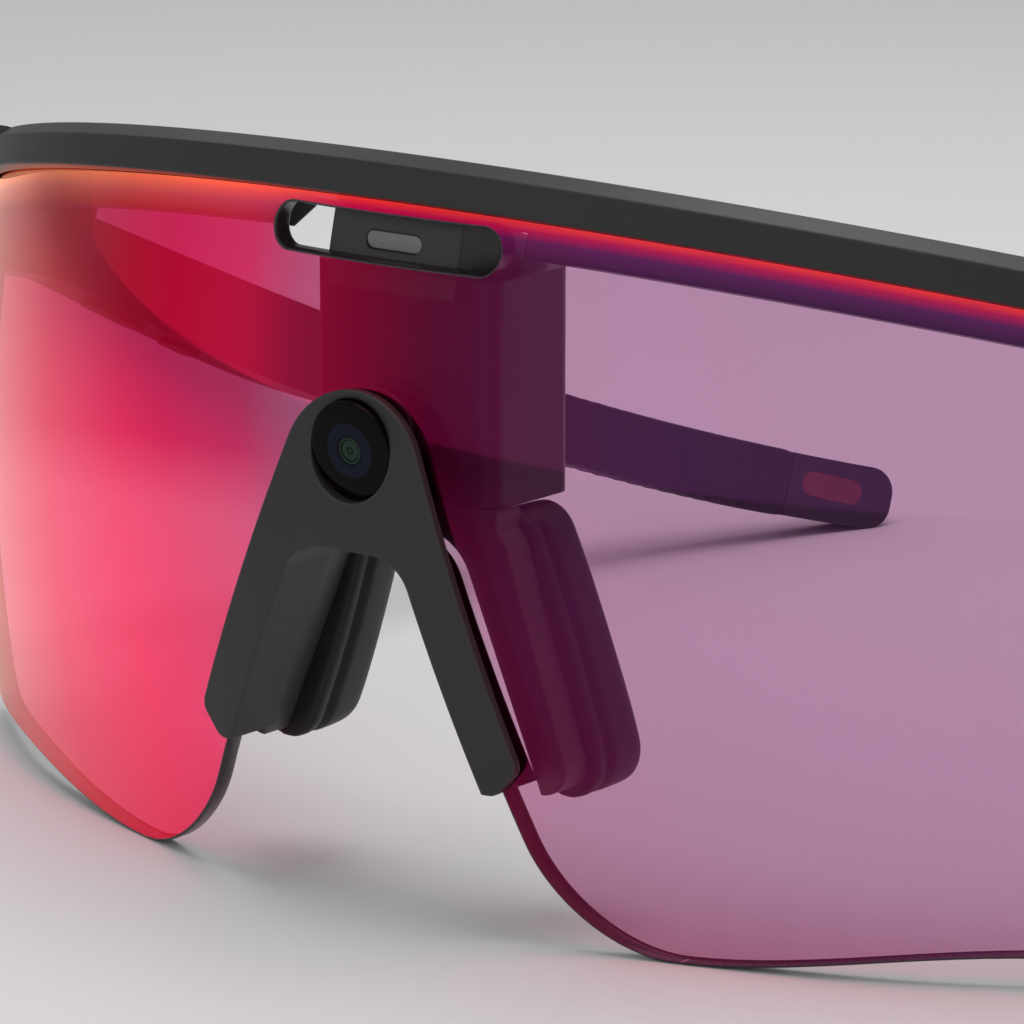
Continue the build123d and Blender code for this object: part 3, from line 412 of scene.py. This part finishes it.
# painted light: the floor is paler near the object and darker further off, a painted pool of light
floorLightPool = {
    "near": (0.80, 0.80, 0.80), "far": (0.63, 0.63, 0.635), "reach": (0.18, 1.10), "rough": 0.75,
    "specular": 0.2,
}


def paintedPoolFloorFinish():
    mat, tree, out = newFinish("floorPale")
    shader = addNode(tree, "ShaderNodeBsdfPrincipled")
    coord = addNode(tree, "ShaderNodeTexCoord")
    away = addNode(tree, "ShaderNodeVectorMath", operation="LENGTH")
    # painted pool of light: the colour grows paler towards the object's place
    wire(tree, coord.outputs["Object"], away.inputs[0])
    share = mapped(tree, away.outputs["Value"], floorLightPool["reach"])
    tone = mixedColour(tree, share, floorLightPool["near"], floorLightPool["far"])
    wire(tree, tone, shader.inputs["Base Color"])
    shader.inputs["Roughness"].default_value = floorLightPool["rough"]
    shader.inputs["Specular IOR Level"].default_value = floorLightPool["specular"]
    wire(tree, shader.outputs["BSDF"], out.inputs["Surface"])
    return mat


finishOf = {
    "brow_frame": browBlack, "brow_cap": blackPlastic, "brow_flex": amberFilm,
    "bridge_cover": satinGrey, "bridge_housing": housingBlack, "bridge_back": housingBlack,
    "charging_contacts": goldPlate, "bridge_screws": brightSteel, "camera_barrel": darkSteel,
    "lens_retainer": darkSteel, "camera_lens": opticGlass, "camera_sensor": boardGreen,
    "camera_window": windowBlack, "light_window": frostedLight, "light_board": boardGreen,
    "pad_carrier": carrierGrey, "nose_pad": padRubber, "front_hinge": darkSteel,
    "hinge_pin": brightSteel, "temple_hinge": darkSteel, "temple_shell": blackPlastic,
    "temple_cover": blackPlastic, "ear_sock": sockRubber, "temple_tip": tipBlack,
    "tip_inlay": inlayRed, "circuit_board": boardGreen, "battery": cellFoil,
    "speaker": speakerBlack, "speaker_grille": brightSteel, "capture_button": blackPlastic,
    "action_button": blackPlastic, "power_switch": blackPlastic, "shield_lens": edgeDark,
}

for nodeName, part in nodes.items():
    plain = nodeName.replace("_left", "").replace("_right", "")
    for slotNumber in range(len(part.data.materials)):
        part.data.materials[slotNumber] = finishOf[plain]
    if not part.data.materials:
        part.data.materials.append(finishOf[plain])
print("finishes given to every part")


def newPiece(name, points, faces, materials):
    mesh = bpy.data.meshes.new(name)
    mesh.from_pydata(points, [], faces)
    for material in materials:
        mesh.materials.append(material)
    mesh.shade_smooth()
    obj = bpy.data.objects.new(name, mesh)
    bpy.context.scene.collection.objects.link(obj)
    return obj


# the lens's own upright frame: x across, h up from the brow line, y back
lensForm = {
    "turn": 96.5, "drop": 141.5, "widest": -36.4, "thick": 1.8, "depth": 58.7, "lean": 18.5,
    "seat": 0.0757, "halfWidth": 67.6, "corner": 6.0, "lobeX": 28.0, "flatX": 54.0, "rise": 2.5,
    "intoBrow": 1.2, "archHalf": 5.36, "archDrop": 28.2, "splay": 0.4317, "archRound": 4.0,
    "archGap": 1.0, "noseDrop": 50.0, "ventWidth": 23.0, "ventHeight": 3.6, "ventDrop": 3.7,
    "windowDrop": 20.1, "windowRound": 4.25, "pitch": 1.3, "edge": 0.22, "edgeSoft": 0.3,
    "nearEdge": 0.55, "slopeStep": 0.05, "browPasses": 12, "browSteps": 60, "cornerSteps": 12,
    "floorSteps": 14, "lobeSteps": 26, "archSteps": 14, "windowSteps": 72, "ventSteps": 18,
}
tiny = 1e-6
apexY = -(lensForm["drop"] - math.sqrt(lensForm["drop"] ** 2 - lensForm["widest"] ** 2))
seatTurn = math.radians(lensForm["seat"])
lensLow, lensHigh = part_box("shield_lens")
seatY = lensLow.y / mm - apexY - lensForm["widest"] * math.sin(seatTurn)
seatZ = lensLow.z / mm + lensForm["depth"]


def fromLens(x, y, h):
    back = y * math.cos(seatTurn) + h * math.sin(seatTurn) + seatY
    up = -y * math.sin(seatTurn) + h * math.cos(seatTurn) + seatZ
    return Vector((x * mm, back * mm, up * mm))


def surfaceY(x, h, deep=0.0):
    centre = apexY + lensForm["drop"]
    y = centre - math.sqrt((lensForm["drop"] - deep) ** 2 - (h - lensForm["widest"]) ** 2)
    axis = apexY + lensForm["turn"]
    return axis - math.sqrt((axis - y) ** 2 - x ** 2)


def surfaceNormal(x, h, deep=0.0):
    def at(px, ph):
        return fromLens(px, surfaceY(px, ph, deep), ph)

    step = lensForm["slopeStep"]
    across = at(x + step, h) - at(x - step, h)
    upward = at(x, h + step) - at(x, h - step)
    return across.cross(upward).normalized()


def browHeight(x):
    lean = math.radians(lensForm["lean"])
    h = 0.0
    for _ in range(lensForm["browPasses"]):
        h = (lensForm["intoBrow"] - surfaceY(x, h) * math.sin(lean)) / math.cos(lean)
    return h


def hermite(start, end, leave, arrive, count):
    chord = math.dist(start, end)
    points = []
    for i in range(1, count):
        t = i / count
        a, b = 2 * t ** 3 - 3 * t ** 2 + 1, t ** 3 - 2 * t ** 2 + t
        c, d = -2 * t ** 3 + 3 * t ** 2, t ** 3 - t ** 2
        points.append(tuple(
            a * start[k] + b * chord * leave[k] + c * end[k] + d * chord * arrive[k]
            for k in (0, 1)))
    return points


def arcPoints(centre, radius, start, stop, count):
    points = []
    for i in range(count + 1):
        turn = math.radians(start + (stop - start) * i / count)
        points.append((centre[0] + radius * math.cos(turn), centre[1] + radius * math.sin(turn)))
    return points


def evened(points, pitch):  # the closed line again, with points no further apart than the pitch
    result = []
    for i, a in enumerate(points):
        b = points[(i + 1) % len(points)]
        parts = max(1, math.ceil(math.dist(a, b) / pitch))
        for k in range(parts):
            result.append((a[0] + (b[0] - a[0]) * k / parts, a[1] + (b[1] - a[1]) * k / parts))
    return result


def lensOutline():
    f = lensForm
    slant = math.sqrt(1 + f["splay"] ** 2)
    grown = f["archHalf"] + f["archGap"] * slant
    noseX = grown + (f["noseDrop"] - f["archDrop"]) * f["splay"]
    floor = -f["depth"] + f["rise"]
    right = []
    for i in range(f["browSteps"] + 1):  # along the brow, from the middle to the side
        x = f["halfWidth"] * i / f["browSteps"]
        right.append((x, browHeight(x)))
    corner = (f["halfWidth"] - f["corner"], floor + f["corner"])
    right += arcPoints(corner, f["corner"], 0, -90, f["cornerSteps"])
    flatEnd, lobe, nose = (f["flatX"], floor), (f["lobeX"], -f["depth"]), (noseX, -f["noseDrop"])
    right.append(flatEnd)
    right += hermite(flatEnd, lobe, (-1, 0), (-1, 0), f["floorSteps"])
    right.append(lobe)
    arrive = Vector((-f["splay"], 1.0)).normalized()
    right += hermite(lobe, nose, (-1, 0), tuple(arrive), f["lobeSteps"])
    right.append(nose)
    radius = f["archRound"] + f["archGap"]
    top = -f["archDrop"] + f["archGap"]
    lean = math.degrees(math.atan(f["splay"]))
    centreH = top - radius
    edgeX = grown + (-f["archDrop"] - centreH) * f["splay"]
    centreX = edgeX - radius * slant
    right += arcPoints((centreX, centreH), radius, lean, 90, f["archSteps"])
    left = [(-x, h) for x, h in reversed(right) if x > tiny]
    return evened(right + left, f["pitch"])


def windowHole():
    f = lensForm
    tilt = math.asin((f["widest"] + f["windowDrop"]) / f["drop"])
    tall = f["windowRound"] / math.cos(tilt)
    points = []
    for i in range(f["windowSteps"]):
        a = -2 * math.pi * i / f["windowSteps"]
        points.append((f["windowRound"] * math.cos(a), -f["windowDrop"] + tall * math.sin(a)))
    return points


def ventHole():
    f = lensForm
    radius = f["ventHeight"] / 2
    reach = f["ventWidth"] / 2 - radius
    line = arcPoints((reach, -f["ventDrop"]), radius, 90, -90, f["ventSteps"])
    line += arcPoints((-reach, -f["ventDrop"]), radius, 270, 90, f["ventSteps"])
    return evened(line, f["pitch"])


def insetLoop(points, amount):  # moves a clockwise line inwards, which for a hole is into the sheet
    count = len(points)
    moved = []
    for i in range(count):
        a, b, c = points[i - 1], points[i], points[(i + 1) % count]
        one = Vector((b[0] - a[0], b[1] - a[1])).normalized()
        two = Vector((c[0] - b[0], c[1] - b[1])).normalized()
        along = (one + two).normalized()
        inward = Vector((along.y, -along.x))
        moved.append((b[0] + inward.x * amount, b[1] + inward.y * amount))
    return moved


def loopArea(points):
    return sum(a[0] * b[1] - b[0] * a[1] for a, b in zip(points, points[1:] + points[:1])) / 2


def insideLoop(point, loop):
    inside = False
    x, y = point
    for (ax, ay), (bx, by) in zip(loop, loop[1:] + loop[:1]):
        if (ay > y) != (by > y) and x < (bx - ax) * (y - ay) / (by - ay) + ax:
            inside = not inside
    return inside


def onSheet(point, loops):  # within the outline and outside every hole
    return insideLoop(point, loops[0]) and not any(insideLoop(point, loop) for loop in loops[1:])


def nearLoop(point, loop, gap):
    return any((point[0] - q[0]) ** 2 + (point[1] - q[1]) ** 2 < gap * gap for q in loop)


def lensLoops():  # the outline runs clockwise and the holes the other way
    outline, holes = lensOutline(), [windowHole(), ventHole()]
    if loopArea(outline) > 0:
        outline.reverse()
    for hole in holes:
        if loopArea(hole) < 0:
            hole.reverse()
    return [outline] + holes


def flatSheet(faceLoops):  # triangles that fill the sheet between the loops
    f = lensForm
    flat, links = [], []
    for loop in faceLoops:
        start = len(flat)
        flat += [Vector(p) for p in loop]
        links += [(start + i, start + (i + 1) % len(loop)) for i in range(len(loop))]
    pitch = f["pitch"]
    top = max(h for _, h in faceLoops[0])
    columns = round(f["halfWidth"] / pitch)
    for row in range(math.ceil((top + f["depth"]) / pitch)):
        shift = 0.5 * pitch if row % 2 else 0.0
        for column in range(-columns, columns + 1):
            p = (column * pitch + shift, -f["depth"] + row * pitch)
            if not onSheet(p, faceLoops):
                continue
            if not any(nearLoop(p, loop, pitch * f["nearEdge"]) for loop in faceLoops):
                flat.append(Vector(p))
    verts, _, faces, origin, _, _ = delaunay_2d_cdt(flat, links, [], 0, tiny)
    kept = []
    for face in faces:
        if not onSheet(sum((verts[i] for i in face), Vector((0, 0))) / 3, faceLoops):
            continue
        a, b, c = (verts[i] for i in face)
        if (b - a).cross(c - a) < 0:
            face = list(reversed(face))
        kept.append(list(face))
    number = {index: new for new, old in enumerate(origin) for index in old}
    return verts, kept, number


def buildLens():
    f = lensForm
    edge, thick = f["edge"], f["thick"]
    soft = edge * f["edgeSoft"]
    rounding = (  # of the rim, from front to back: inset, depth and turn of the normal
        (soft, soft, 45), (0.0, edge, 80), (0.0, thick - edge, 100), (soft, thick - soft, 135))
    loops = lensLoops()
    verts, kept, number = flatSheet([insetLoop(loop, edge) for loop in loops])
    points, normals, below = [], [], []
    for x, h in verts:
        points.append(fromLens(x, surfaceY(x, h), h))
        normals.append(surfaceNormal(x, h))
        below.append((browHeight(x) - h - lensCoat["bandStart"]) / lensCoat["bandReach"])
    half = len(verts)
    for x, h in verts:
        points.append(fromLens(x, surfaceY(x, h, thick), h))
        normals.append(-surfaceNormal(x, h, thick))
    tris = [tuple(t) for t in kept] + [tuple(half + i for i in reversed(t)) for t in kept]
    slots = [0] * len(kept) + [2] * len(kept)
    start = 0
    for loop in loops:
        count = len(loop)
        rings = [[number[start + i] for i in range(count)]]
        for inset, deep, turn in rounding:
            ringStart = len(points)
            for i, (x, h) in enumerate(insetLoop(loop, inset)):
                points.append(fromLens(x, surfaceY(x, h, deep), h))
                a, c = loop[i - 1], loop[(i + 1) % count]
                out = Vector((-(c[1] - a[1]), 0.0, c[0] - a[0])).normalized()
                facing = surfaceNormal(x, h)
                angle = math.radians(turn)
                normals.append((facing * math.cos(angle) + out * math.sin(angle)).normalized())
            rings.append([ringStart + i for i in range(count)])
        rings.append([half + number[start + i] for i in range(count)])
        for first, second in zip(rings, rings[1:]):
            for i in range(count):
                j = (i + 1) % count
                tris.append((first[i], first[j], second[j], second[i]))
                slots.append(1)
        start += count
    lens = newPiece("shieldLens", points, tris, [coatFinish(), edgeDark, innerFinish()])
    for polygon, slotNumber in zip(lens.data.polygons, slots):
        polygon.material_index = slotNumber
    lens.data.normals_split_custom_set_from_vertices([tuple(n) for n in normals])
    # belowBrow: distance under the brow, which places the painted reflection bands and the end of
    # the darker upper tint
    share = lens.data.attributes.new("belowBrow", "FLOAT", "POINT")
    for i, amount in enumerate(below):
        share.data[i].value = max(0.0, amount)
    for i in range(len(below), len(points)):
        share.data[i].value = 1.0
    return lens


shieldLens = buildLens()
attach(shieldLens, "front")
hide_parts("shield_lens")
print("lens built:", len(shieldLens.data.polygons), "faces")

windowForm = {
    "radius": 4.05, "low": -0.5, "high": 0.42, "crown": 0.08, "sides": 96, "tilt": 6.54,
    "hollow": 0.10, "weld": 0.001,
    "steps": [  # share of the radius, sink in millimetres, finish of the ring that ends there
        (0.05, 0.10, 2), (0.08, 0.10, 0), (0.20, 0.10, 2), (0.23, 0.06, 0), (0.27, 0.06, 2),
        (0.31, 0.04, 0), (0.56, 0.0, 1), (0.60, 0.0, 0), (0.93, 0.0, 0),
    ],
    "rim": [(0.12, 0.0), (0.03, 0.04), (0.0, 0.14)],  # inset and sink in millimetres
}


def buildWindow():
    f = windowForm
    boxLow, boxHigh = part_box("camera_window")
    centre = (boxLow + boxHigh) / 2
    tilt = math.radians(f["tilt"])
    out = Vector((0.0, -math.cos(tilt), -math.sin(tilt)))
    across = Vector((1.0, 0.0, 0.0))
    up = out.cross(across).normalized()
    rings = [(0.0, f["high"] - f["hollow"] + f["crown"], 2)]
    for share, sink, slot in f["steps"]:
        rings.append((share * f["radius"], f["high"] - sink + f["crown"] * (1 - share ** 2), slot))
    rings += [(f["radius"] - inset, f["high"] - sink, 0) for inset, sink in f["rim"]]
    rings += [(f["radius"], f["low"], 0), (0.0, f["low"], 0)]
    points, faces, slots = [], [], []
    for radius, rise, _ in rings:
        for k in range(f["sides"]):
            a = 2 * math.pi * k / f["sides"]
            spoke = across * math.cos(a) + up * math.sin(a)
            points.append(centre + spoke * radius * mm + out * rise * mm)
    for r in range(len(rings) - 1):
        inner, outer = r * f["sides"], (r + 1) * f["sides"]
        for k in range(f["sides"]):
            j = (k + 1) % f["sides"]
            faces.append((inner + k, outer + k, outer + j, inner + j))
            slots.append(rings[r + 1][2])
    window = newPiece("cameraWindowGlass", points, faces, [windowBlack, windowBlue, windowGreen])
    for polygon, slotNumber in zip(window.data.polygons, slots):
        polygon.material_index = slotNumber
    tidy = bmesh.new()
    tidy.from_mesh(window.data)
    bmesh.ops.remove_doubles(tidy, verts=tidy.verts, dist=f["weld"] * mm)
    bmesh.ops.recalc_face_normals(tidy, faces=tidy.faces)
    tidy.to_mesh(window.data)
    tidy.free()
    return window


cameraWindow = buildWindow()
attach(cameraWindow, "front")
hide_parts("camera_window")
print("camera window built")


def softCopy(nodeName, name, form, material):  # an even, rounded copy of a plain part
    mesh = nodes[nodeName].data.copy()
    mesh.materials.clear()
    mesh.materials.append(material)
    obj = bpy.data.objects.new(name, mesh)
    bpy.context.scene.collection.objects.link(obj)
    even = obj.modifiers.new("even", "REMESH")
    even.mode = "VOXEL"
    even.voxel_size = form["voxel"] * mm
    even.use_smooth_shade = True
    soften = obj.modifiers.new("soften", "SMOOTH")
    soften.factor = form["soften"]
    soften.iterations = form["smoothing"]
    graph = bpy.context.evaluated_depsgraph_get()
    shaped = bpy.data.meshes.new_from_object(obj.evaluated_get(graph))
    obj.modifiers.clear()
    obj.data = shaped
    shaped.name = name
    if not shaped.materials:
        shaped.materials.append(material)
    shaped.shade_smooth()
    return obj


def bell(value, middle, width):
    return math.exp(-((value - middle) / width) ** 2)


padForm = {
    "voxel": 0.30, "smoothing": 10, "soften": 0.5, "top": (8.8, -28.6), "foot": (14.6, -45.0),
    "front": 4.6, "depth": 8.0, "half": 3.3, "slim": 0.80, "swellFrom": 0.12, "swellOver": 0.62,
    "belly": 0.10, "crown": 0.30, "groove": 0.55, "grooveAt": 0.20, "grooveWide": 0.055,
    "dish": 0.9, "dishWide": 2.2, "pull": 0.10,
}


def shapePad(pad, sign):
    f = padForm
    top, foot = Vector(f["top"]), Vector(f["foot"])
    length = (foot - top).length
    along = (foot - top).normalized()
    square = Vector((-along.y, along.x))
    origin = fromLens(0.0, 0.0, 0.0) / mm
    back = (fromLens(0.0, 1.0, 0.0) - fromLens(0.0, 0.0, 0.0)) / mm
    upward = (fromLens(0.0, 0.0, 1.0) - fromLens(0.0, 0.0, 0.0)) / mm
    for vertex in pad.data.vertices:
        place = vertex.co / mm - origin
        flat = Vector((sign * place.x, place.dot(upward)))
        deep = min(1.0, max(0.0, (place.dot(back) - f["front"]) / f["depth"]))
        run = (flat - top).dot(along)
        share = min(1.0, max(0.0, run / length))
        wide = (flat - top).dot(square)
        swell = math.sin(math.pi * (f["swellFrom"] + f["swellOver"] * share))
        slim = f["slim"] + (1 - f["slim"]) * swell
        slim *= 1 - f["crown"] * deep ** 3
        slim *= 1 - f["groove"] / f["half"] * bell(deep, f["grooveAt"], f["grooveWide"])
        dish = (0.5 - 0.5 * math.cos(2 * math.pi * share)) * bell(wide, 0.0, f["dishWide"])
        sink = f["dish"] * deep * dish
        sink += f["belly"] * f["depth"] * deep * (1 - share) ** 2
        pull = (1 - slim) * (bell(run, length / 2, length) * f["pull"])
        moved = top + along * (run - (run - length / 2) * pull) + square * wide * slim
        change = moved - flat
        vertex.co += (Vector((sign * change.x, 0.0, 0.0)) + upward * change.y - back * sink) * mm


for sideName, sign in (("left", 1), ("right", -1)):
    pad = softCopy("nose_pad_" + sideName, "softNosePad_" + sideName, padForm, padRubber)
    shapePad(pad, sign)
    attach(pad, "front")
    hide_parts("nose_pad_" + sideName)
print("nose pads shaped")

sockForm = {
    "voxel": 0.45, "smoothing": 5, "soften": 0.5, "ribs": 9, "pitch": 1.9, "wide": 0.42,
    "deep": 0.32, "clear": 0.06,
}


def shapeSock(sock):
    f = sockForm
    ys = [vertex.co.y for vertex in sock.data.vertices]
    middle = (min(ys) + max(ys)) / 2 / mm
    normals = [vertex.normal.copy() for vertex in sock.data.vertices]
    for vertex, normal in zip(sock.data.vertices, normals):
        place = (vertex.co.y / mm - middle) / f["pitch"]
        nearest = round(place)
        sink = f["clear"]
        if abs(nearest) <= f["ribs"] // 2:
            groove = bell((place - nearest) * f["pitch"], 0.0, f["wide"])
            sink += f["deep"] * groove * max(0.0, -normal.z) ** 0.5
        vertex.co -= normal * sink * mm


for sideName in ("left", "right"):
    sock = softCopy("ear_sock_" + sideName, "softEarSock_" + sideName, sockForm, sockRubber)
    shapeSock(sock)
    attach(sock, "temple_" + sideName)
    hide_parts("ear_sock_" + sideName)
print("ear socks shaped")


sweep = {
    "near": -3.0, "bend": 2.2, "round": 0.6, "steps": 12, "high": 2.5, "half": 3.5, "turn": 38,
}


def buildFloor():
    f = sweep
    profile = [(f["near"], 0.0), (0.0, 0.0), (f["bend"], 0.0)]
    for i in range(1, f["steps"] + 1):
        a = math.radians(90 * i / f["steps"])
        profile.append((f["bend"] + f["round"] * math.sin(a), f["round"] * (1 - math.cos(a))))
    profile.append((f["bend"] + f["round"], f["high"]))
    points, faces = [], []
    for y, z in profile:
        points += [(-f["half"], y, z), (f["half"], y, z)]
    for i in range(len(profile) - 1):
        faces.append((2 * i, 2 * i + 1, 2 * i + 3, 2 * i + 2))
    floor = newPiece("studioFloor", points, faces, [paintedPoolFloorFinish()])
    floor.rotation_euler[2] = math.radians(f["turn"])
    return floor


buildFloor()
